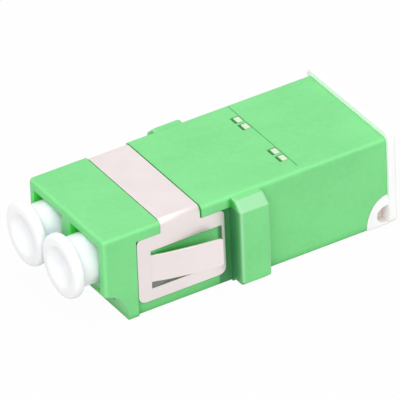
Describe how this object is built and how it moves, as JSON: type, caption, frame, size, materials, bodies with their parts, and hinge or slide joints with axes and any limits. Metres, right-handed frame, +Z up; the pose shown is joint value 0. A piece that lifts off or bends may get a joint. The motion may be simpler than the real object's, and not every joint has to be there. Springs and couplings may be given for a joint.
{
  "type": "lc fibre adapter",
  "caption": "Rectangular adapter that joins pairs of fibre connectors end to end, with side ears, a sprung panel clip and pull-off dust caps.",
  "frame": {"origin": "on the underside of the body, at mid-length and mid-width", "axes": "+X along the ports, from the single dust caps towards the double one; +Z up, away from the latch side; -Y is the side that faces the camera in the picture"},
  "size_m": [0.033, 0.0162, 0.0097],
  "materials": {
    "green_plastic": "satin",
    "steel": "satin",
    "white_plastic": "satin",
    "ivory_plastic": "matte",
    "ceramic": "polished"
  },
  "bodies": {
    "adapter": {"adapter_body": "green_plastic", "panel_clip": "steel", "front_sleeve_holder_near": "ivory_plastic", "rear_sleeve_holder_near": "ivory_plastic", "front_sleeve_holder_far": "ivory_plastic", "rear_sleeve_holder_far": "ivory_plastic", "split_sleeve_near": "ceramic", "split_sleeve_far": "ceramic"},
    "front_cap_near": {"front_dust_cap_near": "white_plastic"},
    "front_cap_far": {"front_dust_cap_far": "white_plastic"},
    "rear_cap": {"rear_dust_cap": "white_plastic"}
  },
  "joints": [
    {"name": "front_cap_near_slide", "type": "slide", "parent": "adapter", "child": "front_cap_near", "axis": [-1, 0, 0], "range_m": [0, 0.02]},
    {"name": "front_cap_far_slide", "type": "slide", "parent": "adapter", "child": "front_cap_far", "axis": [-1, 0, 0], "range_m": [0, 0.02]},
    {"name": "rear_cap_slide", "type": "slide", "parent": "adapter", "child": "rear_cap", "axis": [1, 0, 0], "range_m": [0, 0.014]}
  ]
}
